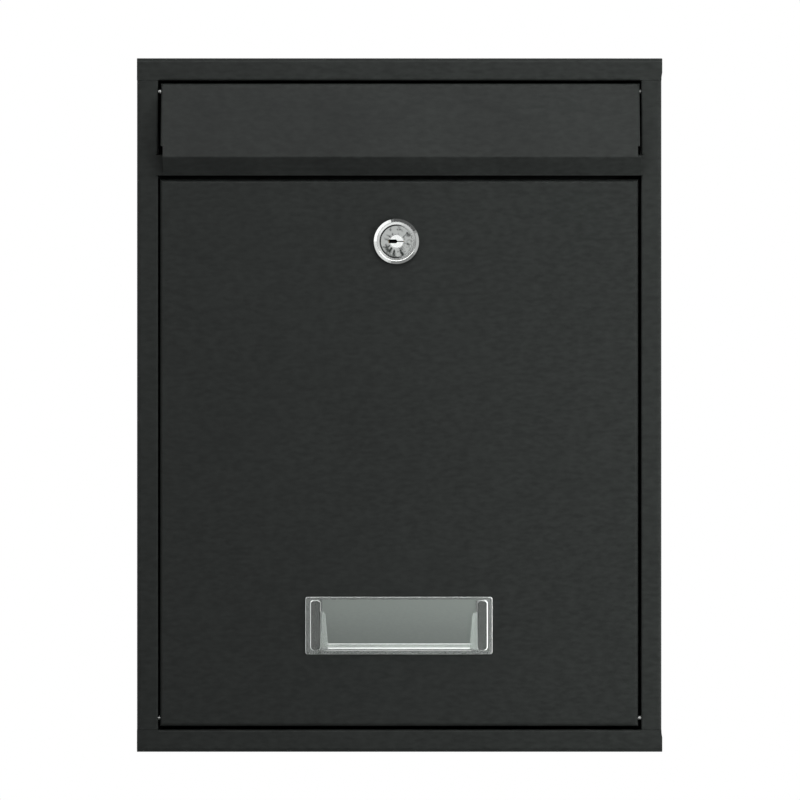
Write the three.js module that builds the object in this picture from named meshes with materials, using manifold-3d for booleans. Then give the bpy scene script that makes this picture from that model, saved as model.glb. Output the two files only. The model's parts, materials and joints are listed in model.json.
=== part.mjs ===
// Wall-mounted steel mailbox: a top-hinged inlet flap, a drop-down door, a cam lock and a clear name holder.
// Millimetres, +Z up. The front faces -Y. The origin is the centre of the back face, which meets the wall.
import * as THREE from "three";
import { mergeVertices } from "three/addons/utils/BufferGeometryUtils.js";
import Module from "manifold-3d";

const wasm = await Module();
wasm.setup();

// ---------------------------------------------------------------- driving dimensions

// The box and its sheet steel.
const WIDTH = 265;
const HEIGHT = 350;
const DEPTH = 110;
const SHEET = 0.8;
const HALF_SHEET = SHEET / 2;
const BEND = 2; // outside radius of a bend
const FRAME_BEND = 1; // the tighter bend round the front opening
const FLAP_BEND = 1.05; // and the bends of the inlet flap
const BEND_STEPS = 4;
const GAP = 0.3; // between sheets that are welded or laid on each other
const SEAM = 0.12; // between the ends of the frame's flanges, where they butt
const TOUCH = 0.1; // between small pieces that touch

// The frame round the front opening, folded from the wrap and the side panels.
const FRAME_SIDE = 10.65;
const FRAME_CAP = 11.15;
const FRAME_RETURN = 12; // how far the frame folds back into the box
const SIDE_INSET = { right: 0.4, left: 0 }; // how far the side panels sit inside the ends of the wrap
const WELD_FLANGE = 10;
const END_TAPER = [1.4, 3.9]; // where the taper at the ends of the wrap's front flanges begins and stops
const SCREW_HOLE_R = 3.25;
const SCREW_SPACING_X = 190;
const SCREW_SPACING_Z = 260;

// The rail across the front, between the slot and the door. It hangs behind a tab on each side panel.
const TAB = 5; // how far the tabs reach in from the frame
const RAIL_TOP = 126.2;
const RAIL_BOTTOM = 115.8;
const RAIL_CATCH_BOTTOM = 101; // lower edge of the flange that the cam turns behind
const RAIL_CATCH_DEPTH = 14.4; // from the front of the box to that flange

// The door: a shallow pan on two pivots near its lower edge.
const DOOR_WIDTH = 241.3;
const DOOR_SHIFT = -0.3; // it sits to one side by its side play
const DOOR_TOP = 113.85;
const DOOR_BOTTOM = -162;
const DOOR_RETURN = 12;
const DOOR_BOTTOM_RETURN = 6;
const DOOR_LIP = 9; // the top return turns down by this much
const DOOR_AXIS_DEPTH = 4.2; // behind the front of the box
const DOOR_AXIS_Z = -157.9;

// The inlet flap: a sloping face, a lip that turns back in under it, and an ear at each end.
const FLAP_HALF_WIDTH = 120.65;
const FLAP_SHIFT = 0.38; // it sits to one side by its side play
const FLAP_AXIS_DEPTH = 3.8;
const FLAP_AXIS_Z = 158.3;
const FLAP_FACE_IN_FRONT = 4.1; // top of the face, in front of the axis
const FLAP_TOP = 3.8; // above the axis
const FLAP_TOP_RETURN = 5;
const CREASE_PROUD = 9; // the crease, in front of the box
const CREASE_Z = 124.8;
const LIP_PROUD = 2.2; // the lip's lower edge, in front of the box
const LIP_Z = 115.95;
const LIP_RIGHT = 121.2; // the lip's ends, from the middle of the flap
const LIP_LEFT = -119.5;
const LIP_CORNER = 2;
const EAR_BACK = 4.5; // behind the axis
const EAR_BOTTOM = -27.9; // below the axis
const EAR_STRAIGHT = -6; // the ear's back edge is upright down to here
const EAR_TOP_CHAMFER = 1.2;

// Pivot rivets.
const PIN_R = 1.2;
const PIN_HOLE_R = 1.4;
const PIN_HEAD_R = 2.4;
const PIN_HEAD = 1.4;
const PIN_TAIL_R = 2.5;
const PIN_TAIL = 1.5;

// The cam lock, on the door. Depths are from the door's face, positive into the box.
const LOCK_X = -1.6;
const LOCK_Z = 82.5;
const BEZEL_R = 11.5;
const BEZEL_PROUD = 2.6; // the crown, where the bezel's two slopes meet
const BEZEL_CROWN_R = 9.9;
const BEZEL_OUTER_DROP = 0.65; // of the slope from the crown to the rim
const BEZEL_INNER_DROP = 0.2; // of the slope from the crown to the plug
const BARREL_R = 9.3;
const BARREL_FLATS = 8; // half the width across the flats
const BARREL_END = 14.2;
const PLUG_HEAD_R = 8.1;
const PLUG_PLAY = 0.35; // round the plug's head
const PLUG_R = 6.3;
const PLUG_FACE = -1.7;
const PLUG_END = 14.4;
const BOSS_R = 3.5;
const BOSS_FACE = -2.5;
const KEYWAY_WIDTH = 8;
const KEYWAY_HEIGHT = 1.9;
const KEYWAY_DEPTH = 12;
const WARD_GAP = 0.5;
const WARD_SET_BACK = 0.45; // the wards start this far behind the boss's face
const TANG = 6; // the square end of the plug
const TANG_END = 17.9;
const SQUARE_HOLE = 6.3;
const STOP_PLATE = [14.6, 15.5];
const STOP_PLATE_R = 8.4;
const STOP_LUG_ANGLE = (-3 * Math.PI) / 4; // the lug points down and left when the door is free to open
const STOP_EDGE_ANGLE = Math.PI * (29 / 180); // below the level, where the housing's stops begin
const CAM = [15.8, 17.6];
const CAM_REACH = 27;
const CAM_TIP_WIDTH = 12;
const CAM_ROOT_R = 8;
const WAFERS = 5;
const WAFER_FIRST = 3.4;
const WAFER_PITCH = 2;
const WAFER_THICKNESS = 0.8;
const WAFER_CUTS = [0.35, -0.25, 0.1, -0.4, 0.25]; // each wafer's window sits off centre by its own amount

// The name holder, on the door. Depths are from the door's face, negative in front of it.
const NAME_X = -0.35;
const NAME_Z = -111.2;
const NAME_WIDTH = 94.2;
const NAME_HEIGHT = 28.9;
const NAME_CORNER = 1.3;
const NAME_EDGE = 0.35; // rounding of the moulding's front edges
const NAME_PLATE = [-1.3, -TOUCH];
const NAME_POST = { inner: 39.3, outer: 44.7, bottom: -12.5, top: 13, front: -4, corner: 1.9, wall: 0.9 };
const NAME_LIP = { front: -3.3, back: -2.3, bottom: -12.7, top: -9, step: -11.3, stepFront: -3.9 };
const NAME_SIDE_LIP = { low: 35.6, high: 37.2, shoulder: 6, tip: 7.1 };
const NAME_FLOOR = 0.8;
const CARD = { halfWidth: 38.7, bottom: -11.5, top: 13.2, front: -2, back: -1.6 };
const PEG_X = 30;
const PEG_R = 1.6;
const PEG_HOLE_R = 1.9;
const PEG_END = 3.2;

// Rubber bumpers.
const DOOR_BUMPER = { x: 85, z: 107.5, r: 4, thickness: 2.2 };
const FLAP_BUMPER = { x: 95, z: 120.4, r: 2.8, thickness: 3.5 };

// Places worked out from them.
const FRONT = -DEPTH;
const OPENING_X = WIDTH / 2 - FRAME_SIDE;
const OPENING_Z = HEIGHT / 2 - FRAME_CAP;
const DOOR_HALF = DOOR_WIDTH / 2;
const RAIL_FACE = FRONT + SHEET + GAP;

// ---------------------------------------------------------------- shapes and solids

const point = (x, y) => new THREE.Vector2(x, y);

// Moves a manifold-3d solid into a three.js geometry and back.
function solidOf(geometry) {
  const bare = geometry.index ? geometry.toNonIndexed() : geometry.clone();
  bare.deleteAttribute("normal");
  bare.deleteAttribute("uv");
  const merged = mergeVertices(bare, 1e-4);
  return new wasm.Manifold(
    new wasm.Mesh({
      numProp: 3,
      vertProperties: merged.attributes.position.array,
      triVerts: new Uint32Array(merged.index.array),
    }),
  );
}

function geometryOf(solid) {
  const mesh = solid.getMesh();
  return new THREE.BufferGeometry()
    .setAttribute("position", new THREE.BufferAttribute(mesh.vertProperties.slice(), 3))
    .setIndex(new THREE.BufferAttribute(mesh.triVerts.slice(), 1));
}

const join = (first, ...rest) => rest.reduce((made, solid) => made.add(solid), first);
const cut = (first, ...rest) => rest.reduce((made, solid) => made.subtract(solid), first);

// Turns the axes of an extrusion: the outline's two axes and the way it is extruded.
function extrude(shape, length, axisU, axisV, axisW, start, curveSegments = 12) {
  const geometry = new THREE.ExtrudeGeometry(shape, { depth: length, bevelEnabled: false, curveSegments });
  const turn = new THREE.Matrix4().makeBasis(axisU, axisV, axisW);
  return solidOf(geometry.applyMatrix4(turn).translate(start.x, start.y, start.z));
}

const X = new THREE.Vector3(1, 0, 0);
const Y = new THREE.Vector3(0, 1, 0);
const Z = new THREE.Vector3(0, 0, 1);

// An outline in (y, z) from x0 to x1, in (x, y) from z0 to z1, and in (x, z) from y0 to y1.
const alongX = (shape, x0, x1) => extrude(shape, x1 - x0, Y, Z, X, new THREE.Vector3(x0, 0, 0));
const alongZ = (shape, z0, z1) => extrude(shape, z1 - z0, X, Y, Z, new THREE.Vector3(0, 0, z0));
const alongY = (shape, y0, y1, segments) =>
  extrude(shape, y1 - y0, X, Z, Y.clone().negate(), new THREE.Vector3(0, y1, 0), segments);

function box([x0, x1], [y0, y1], [z0, z1]) {
  const geometry = new THREE.BoxGeometry(x1 - x0, y1 - y0, z1 - z0);
  return solidOf(geometry.translate((x0 + x1) / 2, (y0 + y1) / 2, (z0 + z1) / 2));
}

// A round solid on a Y axis through (x, z), from y0 to y1.
function rod(radius, y0, y1, x = 0, z = 0, sides = 24) {
  const geometry = new THREE.CylinderGeometry(radius, radius, y1 - y0, sides);
  return solidOf(geometry.translate(x, (y0 + y1) / 2, z));
}

// A round solid on an X axis through (y, z), from x0 to x1.
function crossRod(radius, x0, x1, y = 0, z = 0, sides = 20) {
  const geometry = new THREE.CylinderGeometry(radius, radius, x1 - x0, sides).rotateZ(-Math.PI / 2);
  return solidOf(geometry.translate((x0 + x1) / 2, y, z));
}

// A turned solid on the Y axis, from an outline of [radius, y] points that run towards +y.
function turned(profile, sides = 40) {
  const points = profile.map(([radius, y]) => point(radius, y));
  return solidOf(new THREE.LatheGeometry(points, sides));
}

// The outline of a bent sheet. The corners lie on the sheet's middle line, and each is rounded as a bend,
// with the outside radius that the corner gives or the usual one.
function bentSheet(corners) {
  const places = corners.map(([u, v]) => point(u, v));
  const left = [];
  const right = [];
  const add = (place, normal) => {
    left.push(place.clone().addScaledVector(normal, HALF_SHEET));
    right.unshift(place.clone().addScaledVector(normal, -HALF_SHEET));
  };
  const heading = (i) => places[i + 1].clone().sub(places[i]).normalize();
  const leftOf = (d) => point(-d.y, d.x);
  add(places[0], leftOf(heading(0)));
  for (let i = 1; i < places.length - 1; i++) {
    const radius = (corners[i][2] ?? BEND) - HALF_SHEET;
    const before = heading(i - 1);
    const after = heading(i);
    const turn = Math.atan2(before.cross(after), before.dot(after));
    const side = Math.sign(turn);
    const start = places[i].clone().addScaledVector(before, -radius * Math.tan(Math.abs(turn) / 2));
    const centre = start.addScaledVector(leftOf(before), side * radius);
    for (let step = 0; step <= BEND_STEPS; step++) {
      const normal = leftOf(before).rotateAround(point(0, 0), (turn * step) / BEND_STEPS);
      add(centre.clone().addScaledVector(normal, -side * radius), normal);
    }
  }
  add(places[places.length - 1], leftOf(heading(places.length - 2)));
  return new THREE.Shape([...left, ...right]);
}

const polygon = (...corners) => new THREE.Shape(corners.map(([u, v]) => point(u, v)));

function roundedRectangle(x0, x1, y0, y1, radius) {
  const shape = new THREE.Shape();
  shape.absarc(x1 - radius, y0 + radius, radius, -Math.PI / 2, 0);
  shape.absarc(x1 - radius, y1 - radius, radius, 0, Math.PI / 2);
  shape.absarc(x0 + radius, y1 - radius, radius, Math.PI / 2, Math.PI);
  shape.absarc(x0 + radius, y0 + radius, radius, Math.PI, 1.5 * Math.PI);
  return shape;
}

// ---------------------------------------------------------------- materials and meshes

const paint = new THREE.MeshStandardMaterial({ color: 0x2e302f, roughness: 0.5, metalness: 0.2 });
const nickel = new THREE.MeshStandardMaterial({ color: 0xc9cdc9, roughness: 0.22, metalness: 1 });
const zinc = new THREE.MeshStandardMaterial({ color: 0xb4b6b3, roughness: 0.38, metalness: 1 });
const brass = new THREE.MeshStandardMaterial({ color: 0xb08d4a, roughness: 0.35, metalness: 1 });
const springSteel = new THREE.MeshStandardMaterial({ color: 0x8d8f8e, roughness: 0.3, metalness: 1 });
const clear = new THREE.MeshStandardMaterial({
  color: 0xdfe5e1,
  roughness: 0.08,
  metalness: 0,
  transparent: true,
  opacity: 0.35,
});
const card = new THREE.MeshStandardMaterial({ color: 0x7b827e, roughness: 0.6, metalness: 0 });
const rubber = new THREE.MeshStandardMaterial({ color: 0x1a1a1a, roughness: 0.8, metalness: 0 });

function piece(group, name, solid, material) {
  const mesh = new THREE.Mesh(geometryOf(solid), material);
  mesh.name = name;
  group.add(mesh);
  return mesh;
}

// ---------------------------------------------------------------- cabinet

const mailbox = new THREE.Group();
const cabinet = new THREE.Group();
mailbox.add(cabinet);

// The wrap: top, back and bottom in one sheet, with a front flange above and below the opening.
function wrap() {
  const flangeEdge = OPENING_Z + 2 * BEND;
  const frontLine = FRONT + HALF_SHEET;
  const top = HEIGHT / 2 - HALF_SHEET;
  const shell = alongX(
    bentSheet([
      [frontLine, flangeEdge],
      [frontLine, top],
      [-HALF_SHEET, top],
      [-HALF_SHEET, -top],
      [frontLine, -top],
      [frontLine, -flangeEdge],
    ]),
    -WIDTH / 2,
    WIDTH / 2,
  );
  const made = [shell];
  for (const up of [1, -1]) {
    const returned = bentSheet([
      [FRONT + FRAME_RETURN, up * (OPENING_Z + HALF_SHEET)],
      [frontLine, up * (OPENING_Z + HALF_SHEET), FRAME_BEND],
      [frontLine, up * (flangeEdge + 1)],
    ]);
    made.push(alongX(returned, -OPENING_X + GAP, OPENING_X - GAP));
    for (const side of [1, -1]) {
      const inner = side * (OPENING_X - 2 * GAP);
      const outer = (side * WIDTH) / 2;
      const panelEdge = outer - Math.max(side, 0) * SIDE_INSET.right;
      const end = polygon(
        [inner, up * OPENING_Z],
        [panelEdge, up * OPENING_Z],
        [panelEdge, up * (OPENING_Z + END_TAPER[0])],
        [outer, up * (OPENING_Z + END_TAPER[1])],
        [outer, up * (flangeEdge + 1)],
        [inner, up * (flangeEdge + 1)],
      );
      made.push(alongY(end, FRONT, FRONT + SHEET));
    }
  }
  const holes = [];
  for (const side of [1, -1])
    for (const up of [1, -1])
      holes.push(rod(SCREW_HOLE_R, -2, 1, (side * SCREW_SPACING_X) / 2, (up * SCREW_SPACING_Z) / 2));
  return cut(join(...made), ...holes);
}

// A side panel, as it is on the right: a web, the frame's side flange with its return, and flanges for spot
// welds. Its outer face is inside the end of the wrap by inset.
function sidePanel(inset) {
  const web = WIDTH / 2 - inset - HALF_SHEET;
  const backFlange = -(SHEET + GAP + HALF_SHEET);
  const endFlange = HEIGHT / 2 - SHEET - GAP - HALF_SHEET;
  const frame = alongZ(
    bentSheet([
      [web - WELD_FLANGE, backFlange],
      [web, backFlange],
      [web, FRONT + HALF_SHEET],
      [OPENING_X + HALF_SHEET, FRONT + HALF_SHEET, FRAME_BEND],
      [OPENING_X + HALF_SHEET, FRONT + FRAME_RETURN],
    ]),
    -OPENING_Z + SEAM,
    OPENING_Z - SEAM,
  );
  // The frame's return stops at the rail, where a flat tab reaches in to hold the rail instead.
  const tabRoom = box(
    [OPENING_X - 1, OPENING_X + FRAME_BEND],
    [FRONT - 1, FRONT + FRAME_RETURN + 1],
    [RAIL_BOTTOM - GAP, RAIL_TOP + GAP],
  );
  const tab = box([OPENING_X - TAB, OPENING_X + BEND + 1], [FRONT, FRONT + SHEET], [RAIL_BOTTOM, RAIL_TOP]);
  const ends = alongY(
    bentSheet([
      [web - WELD_FLANGE, endFlange],
      [web, endFlange],
      [web, -endFlange],
      [web - WELD_FLANGE, -endFlange],
    ]),
    FRONT + BEND,
    -2 * BEND,
  );
  // The hollow behind the side flange has to stay open, so the end flanges stop clear of the frame's return.
  const relief = [1, -1].map((up) =>
    box(
      [web - WELD_FLANGE - 1, web - HALF_SHEET - BEND],
      [FRONT, FRONT + FRAME_RETURN + 2],
      up > 0 ? [OPENING_Z + 1, HEIGHT / 2] : [-HEIGHT / 2, -OPENING_Z - 1],
    ),
  );
  const pinHoles = [
    [FRONT + DOOR_AXIS_DEPTH, DOOR_AXIS_Z],
    [FRONT + FLAP_AXIS_DEPTH, FLAP_AXIS_Z],
  ].map(([y, z]) => crossRod(PIN_R + TOUCH / 2, OPENING_X - 1, OPENING_X + SHEET + 0.5, y, z));
  return cut(join(cut(frame, tabRoom), tab, ends), ...relief, ...pinHoles);
}

// The rail: it is welded behind the side panels' tabs, and folds back and down behind the door's top edge.
function crossRail() {
  const front = RAIL_FACE + HALF_SHEET;
  const catchLine = FRONT + RAIL_CATCH_DEPTH + HALF_SHEET;
  const section = bentSheet([
    [FRONT + FRAME_RETURN, RAIL_TOP - HALF_SHEET],
    [front, RAIL_TOP - HALF_SHEET],
    [front, RAIL_BOTTOM + HALF_SHEET],
    [catchLine, RAIL_BOTTOM + HALF_SHEET],
    [catchLine, RAIL_CATCH_BOTTOM],
  ]);
  return alongX(section, -OPENING_X + GAP, OPENING_X - GAP);
}

// A pivot rivet on the right. Its head is inside the frame, and its tail holds an ear whose inner face is at
// earInner.
function pivotRivet(earInner) {
  const head = OPENING_X + SHEET + TOUCH;
  const tail = earInner - 2 * TOUCH;
  const geometry = new THREE.LatheGeometry(
    [
      point(0, tail - PIN_TAIL),
      point(PIN_TAIL_R - 0.6, tail - PIN_TAIL),
      point(PIN_TAIL_R, tail - PIN_TAIL + 0.6),
      point(PIN_TAIL_R, tail),
      point(PIN_R, tail),
      point(PIN_R, head),
      point(PIN_HEAD_R, head),
      point(PIN_HEAD_R, head + PIN_HEAD * 0.5),
      point(PIN_HEAD_R * 0.55, head + PIN_HEAD),
      point(0, head + PIN_HEAD),
    ],
    20,
  );
  return solidOf(geometry.rotateZ(-Math.PI / 2));
}

piece(cabinet, "wrap_shell", wrap(), paint);
piece(cabinet, "side_panel_right", sidePanel(SIDE_INSET.right), paint);
piece(cabinet, "side_panel_left", sidePanel(SIDE_INSET.left), paint).scale.x = -1;
piece(cabinet, "cross_rail", crossRail(), paint);

for (const [name, side] of [
  ["right", 1],
  ["left", -1],
]) {
  const doorSide = DOOR_HALF + side * DOOR_SHIFT - SHEET;
  const doorPin = piece(cabinet, `door_pivot_${name}`, pivotRivet(doorSide), zinc);
  doorPin.position.set(0, FRONT + DOOR_AXIS_DEPTH, DOOR_AXIS_Z);
  doorPin.scale.x = side;
  const flapEar = FLAP_HALF_WIDTH + side * FLAP_SHIFT - SHEET;
  const flapPin = piece(cabinet, `flap_pivot_${name}`, pivotRivet(flapEar), zinc);
  flapPin.position.set(0, FRONT + FLAP_AXIS_DEPTH, FLAP_AXIS_Z);
  flapPin.scale.x = side;
  const doorStop = FRONT + RAIL_CATCH_DEPTH - TOUCH;
  const doorBumper = rod(
    DOOR_BUMPER.r,
    doorStop - DOOR_BUMPER.thickness,
    doorStop,
    side * DOOR_BUMPER.x,
    DOOR_BUMPER.z,
  );
  piece(cabinet, `door_bumper_${name}`, doorBumper, rubber);
  const flapStop = RAIL_FACE - TOUCH;
  const flapBumper = rod(
    FLAP_BUMPER.r,
    flapStop - FLAP_BUMPER.thickness,
    flapStop,
    side * FLAP_BUMPER.x,
    FLAP_BUMPER.z,
  );
  piece(cabinet, `flap_bumper_${name}`, flapBumper, rubber);
}

// ---------------------------------------------------------------- door

// The door's group is at its pivot axis.
const door = new THREE.Group();
door.position.set(DOOR_SHIFT, FRONT + DOOR_AXIS_DEPTH, DOOR_AXIS_Z);
mailbox.add(door);

// The lock's and name holder's places in the door's group.
const lockPlace = new THREE.Vector3(LOCK_X - DOOR_SHIFT, -DOOR_AXIS_DEPTH, LOCK_Z - DOOR_AXIS_Z);
const namePlace = new THREE.Vector3(NAME_X - DOOR_SHIFT, -DOOR_AXIS_DEPTH, NAME_Z - DOOR_AXIS_Z);

// The barrel's outline, round with two flats, grown all round by a clearance.
function barrelOutline(clearance) {
  const radius = BARREL_R + clearance;
  const flat = Math.asin((BARREL_FLATS + clearance) / radius);
  const shape = new THREE.Shape();
  shape.absarc(0, 0, radius, -flat, flat);
  shape.absarc(0, 0, radius, Math.PI - flat, Math.PI + flat);
  return shape;
}

function doorPanel() {
  const face = -DOOR_AXIS_DEPTH;
  const back = face + DOOR_RETURN;
  const top = DOOR_TOP - DOOR_AXIS_Z;
  const bottom = DOOR_BOTTOM - DOOR_AXIS_Z;
  // A block with rounded front edges, smaller than the door's outside by inset. Two of them make the pan.
  const block = (inset, backExtra) => {
    const radius = BEND - inset;
    const side = new THREE.Shape();
    side.moveTo(back + backExtra, bottom + inset);
    side.lineTo(back + backExtra, top - inset);
    side.absarc(face + inset + radius, top - inset - radius, radius, Math.PI / 2, Math.PI);
    side.absarc(face + inset + radius, bottom + inset + radius, radius, Math.PI, 1.5 * Math.PI);
    const across = new THREE.Shape();
    const half = DOOR_HALF - inset;
    across.moveTo(half, back + backExtra);
    across.lineTo(-half, back + backExtra);
    across.absarc(-half + radius, face + inset + radius, radius, Math.PI, 1.5 * Math.PI);
    across.absarc(half - radius, face + inset + radius, radius, -Math.PI / 2, 0);
    const grow = 5;
    const startX = new THREE.Vector3(-DOOR_HALF - grow, 0, 0);
    const startZ = new THREE.Vector3(0, 0, bottom - grow);
    const sideBlock = extrude(side, 2 * (DOOR_HALF + grow), Y, Z, X, startX, BEND_STEPS);
    const acrossBlock = extrude(across, top - bottom + 2 * grow, X, Y, Z, startZ, BEND_STEPS);
    return sideBlock.intersect(acrossBlock);
  };
  const pan = cut(block(0, 0), block(SHEET, 1));
  const shortened = box(
    [-DOOR_HALF + BEND, DOOR_HALF - BEND],
    [face + DOOR_BOTTOM_RETURN, back + 1],
    [bottom - 1, bottom + BEND],
  );
  const lip = alongX(
    bentSheet([
      [back - 4, top - HALF_SHEET],
      [back - HALF_SHEET, top - HALF_SHEET],
      [back - HALF_SHEET, top - DOOR_LIP],
    ]),
    -DOOR_HALF + BEND,
    DOOR_HALF - BEND,
  );
  // The top return's straight back edge gives way to the bend that turns down.
  const bendRoom = box([-DOOR_HALF + BEND, DOOR_HALF - BEND], [back - 3, back + 1], [top - BEND, top + 1]);
  const lockHole = alongY(barrelOutline(GAP), -1, 1).translate([
    lockPlace.x,
    lockPlace.y + HALF_SHEET,
    lockPlace.z,
  ]);
  const pegHoles = [1, -1].map((side) =>
    rod(PEG_HOLE_R, face - 1, face + 2, namePlace.x + side * PEG_X, namePlace.z),
  );
  const pivotHoles = crossRod(PIN_HOLE_R, -DOOR_HALF - 1, DOOR_HALF + 1);
  const shell = cut(pan, shortened, bendRoom).add(lip);
  return cut(shell, lockHole, ...pegHoles, pivotHoles);
}

piece(door, "door_panel", doorPanel(), paint);

// ---------------------------------------------------------------- name holder

const nameHolder = new THREE.Group();
nameHolder.position.copy(namePlace);
door.add(nameHolder);

// A flat moulded shape with its front and back edges rounded, from y0 to y1.
function moulded(shape, y0, y1, rounding) {
  const geometry = new THREE.ExtrudeGeometry(shape, {
    depth: y1 - y0 - 2 * rounding,
    bevelThickness: rounding,
    bevelSize: rounding,
    bevelOffset: -rounding,
    bevelSegments: 3,
    curveSegments: 6,
  });
  const turn = new THREE.Matrix4().makeBasis(X, Z, Y.clone().negate());
  return solidOf(geometry.applyMatrix4(turn).translate(0, y1 - rounding, 0));
}

function holder() {
  const plateOutline = roundedRectangle(
    -NAME_WIDTH / 2,
    NAME_WIDTH / 2,
    -NAME_HEIGHT / 2,
    NAME_HEIGHT / 2,
    NAME_CORNER,
  );
  const plate = moulded(plateOutline, ...NAME_PLATE, NAME_EDGE);
  const into = NAME_PLATE[0] + 0.3; // the raised parts run this deep, into the plate
  // The ledge that the card stands on, with a stepped front that hides the card's lower edge.
  const soft = 0.3;
  const ledge = alongX(
    polygon(
      [NAME_LIP.back, NAME_LIP.top - soft],
      [NAME_LIP.back - soft, NAME_LIP.top],
      [NAME_LIP.front + soft, NAME_LIP.top],
      [NAME_LIP.front, NAME_LIP.top - soft],
      [NAME_LIP.front, NAME_LIP.step + soft],
      [NAME_LIP.stepFront, NAME_LIP.step - soft],
      [NAME_LIP.stepFront, NAME_LIP.bottom + soft],
      [NAME_LIP.stepFront + soft, NAME_LIP.bottom],
      [into, NAME_LIP.bottom],
      [into, NAME_LIP.bottom + NAME_FLOOR],
      [NAME_LIP.back, NAME_LIP.bottom + NAME_FLOOR],
    ),
    -NAME_SIDE_LIP.low - 1,
    NAME_SIDE_LIP.low + 1,
  );
  const gate = rod(0.5, NAME_PLATE[0] - 0.4, into, 0.5, -NAME_HEIGHT / 2 + 0.9, 10);
  const made = [plate, ledge, gate];
  const hollows = [];
  for (const side of [1, -1]) {
    const { inner, outer, bottom, top, front, corner, wall } = NAME_POST;
    const [x0, x1] = [side * inner, side * outer].sort((a, b) => a - b);
    made.push(moulded(roundedRectangle(x0, x1, bottom, top, corner), front, into, 0.7));
    const hollow = roundedRectangle(x0 + wall, x1 - wall, bottom + wall, top - wall, corner - wall);
    hollows.push(alongY(hollow, front + wall, 1, 4));
    const lip = polygon(
      [side * (inner + 0.5), NAME_LIP.bottom + 0.5],
      [side * NAME_SIDE_LIP.low, NAME_LIP.bottom + 0.5],
      [side * NAME_SIDE_LIP.high, NAME_SIDE_LIP.shoulder],
      [side * (inner + 0.5), NAME_SIDE_LIP.tip],
    );
    made.push(moulded(lip, NAME_LIP.stepFront, NAME_LIP.back, 0.2));
    made.push(rod(PEG_R, NAME_PLATE[1] - 0.3, PEG_END, side * PEG_X, 0, 16));
  }
  return cut(join(...made), ...hollows);
}

// A push-on retainer that grips a peg behind the door.
function pushNut() {
  const ring = rod(4.5, SHEET + TOUCH, SHEET + TOUCH + 0.5, 0, 0, 20);
  return cut(ring, rod(PEG_R + TOUCH, 0, 3, 0, 0, 16));
}

piece(nameHolder, "name_holder", holder(), clear);
piece(
  nameHolder,
  "name_card",
  box([-CARD.halfWidth, CARD.halfWidth], [CARD.front, CARD.back], [CARD.bottom, CARD.top]),
  card,
);
piece(nameHolder, "push_nut_right", pushNut(), springSteel).position.x = PEG_X;
piece(nameHolder, "push_nut_left", pushNut(), springSteel).position.x = -PEG_X;

// ---------------------------------------------------------------- lock

// The lock's group is on its axis at the door's face, with +Y into the box.
const lock = new THREE.Group();
lock.position.copy(lockPlace);
door.add(lock);

function lockHousing() {
  const bezelInner = PLUG_HEAD_R + PLUG_PLAY;
  const bore = PLUG_R + 0.2;
  const seat = 1.6; // depth of the seat that the plug's head turns in
  const innerFace = -BEZEL_PROUD + BEZEL_INNER_DROP;
  const rimFace = -BEZEL_PROUD + BEZEL_OUTER_DROP;
  const soft = 0.15; // rounding of the edges
  const body = turned(
    [
      [bezelInner, seat],
      [bezelInner, innerFace + soft],
      [bezelInner + soft, innerFace],
      [BEZEL_CROWN_R - soft, -BEZEL_PROUD + 0.03],
      [BEZEL_CROWN_R, -BEZEL_PROUD],
      [BEZEL_CROWN_R + soft, -BEZEL_PROUD + 0.05],
      [BEZEL_R - soft, rimFace - 0.05],
      [BEZEL_R, rimFace + soft],
      [BEZEL_R, -TOUCH],
      [BARREL_R, -TOUCH],
      [BARREL_R, BARREL_END],
      [bore, BARREL_END],
      [bore, seat],
      [bezelInner, seat],
    ],
    48,
  );
  // A raised rim round the stop plate. Its ends, below, are the stops for the plate's lug.
  const rim = ring(STOP_PLATE_R + 0.2, BARREL_R, BARREL_END - 0.5, STOP_PLATE[1] - TOUCH, 40);
  const far = 30;
  const lugRoom = polygon(
    [0, 0],
    [-far * Math.cos(STOP_EDGE_ANGLE), -far * Math.sin(STOP_EDGE_ANGLE)],
    [far * Math.cos(STOP_EDGE_ANGLE), -far * Math.sin(STOP_EDGE_ANGLE)],
  );
  const flats = [1, -1].map((up) =>
    box([-BARREL_R - 1, BARREL_R + 1], [-TOUCH, STOP_PLATE[1]], [
      up > 0 ? BARREL_FLATS : -BARREL_R - 1,
      up > 0 ? BARREL_R + 1 : -BARREL_FLATS,
    ]),
  );
  return cut(join(body, cut(rim, alongY(lugRoom, BARREL_END, BARREL_END + 3))), ...flats);
}

function ring(inner, outer, y0, y1, sides = 32) {
  return cut(rod(outer, y0, y1, 0, 0, sides), rod(inner, y0 - 1, y1 + 1, 0, 0, sides));
}

// The slot that the key goes into: open on the left, and a narrow gap between two wards on the right.
const keyway = polygon(
  [-KEYWAY_WIDTH / 2, -KEYWAY_HEIGHT / 2],
  [-0.1, -KEYWAY_HEIGHT / 2],
  [0.5, -WARD_GAP / 2],
  [KEYWAY_WIDTH / 2, -WARD_GAP / 2],
  [KEYWAY_WIDTH / 2, WARD_GAP / 2],
  [0.5, WARD_GAP / 2],
  [-0.1, KEYWAY_HEIGHT / 2],
  [-KEYWAY_WIDTH / 2, KEYWAY_HEIGHT / 2],
);

const waferY = (i) => WAFER_FIRST + i * WAFER_PITCH;

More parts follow.
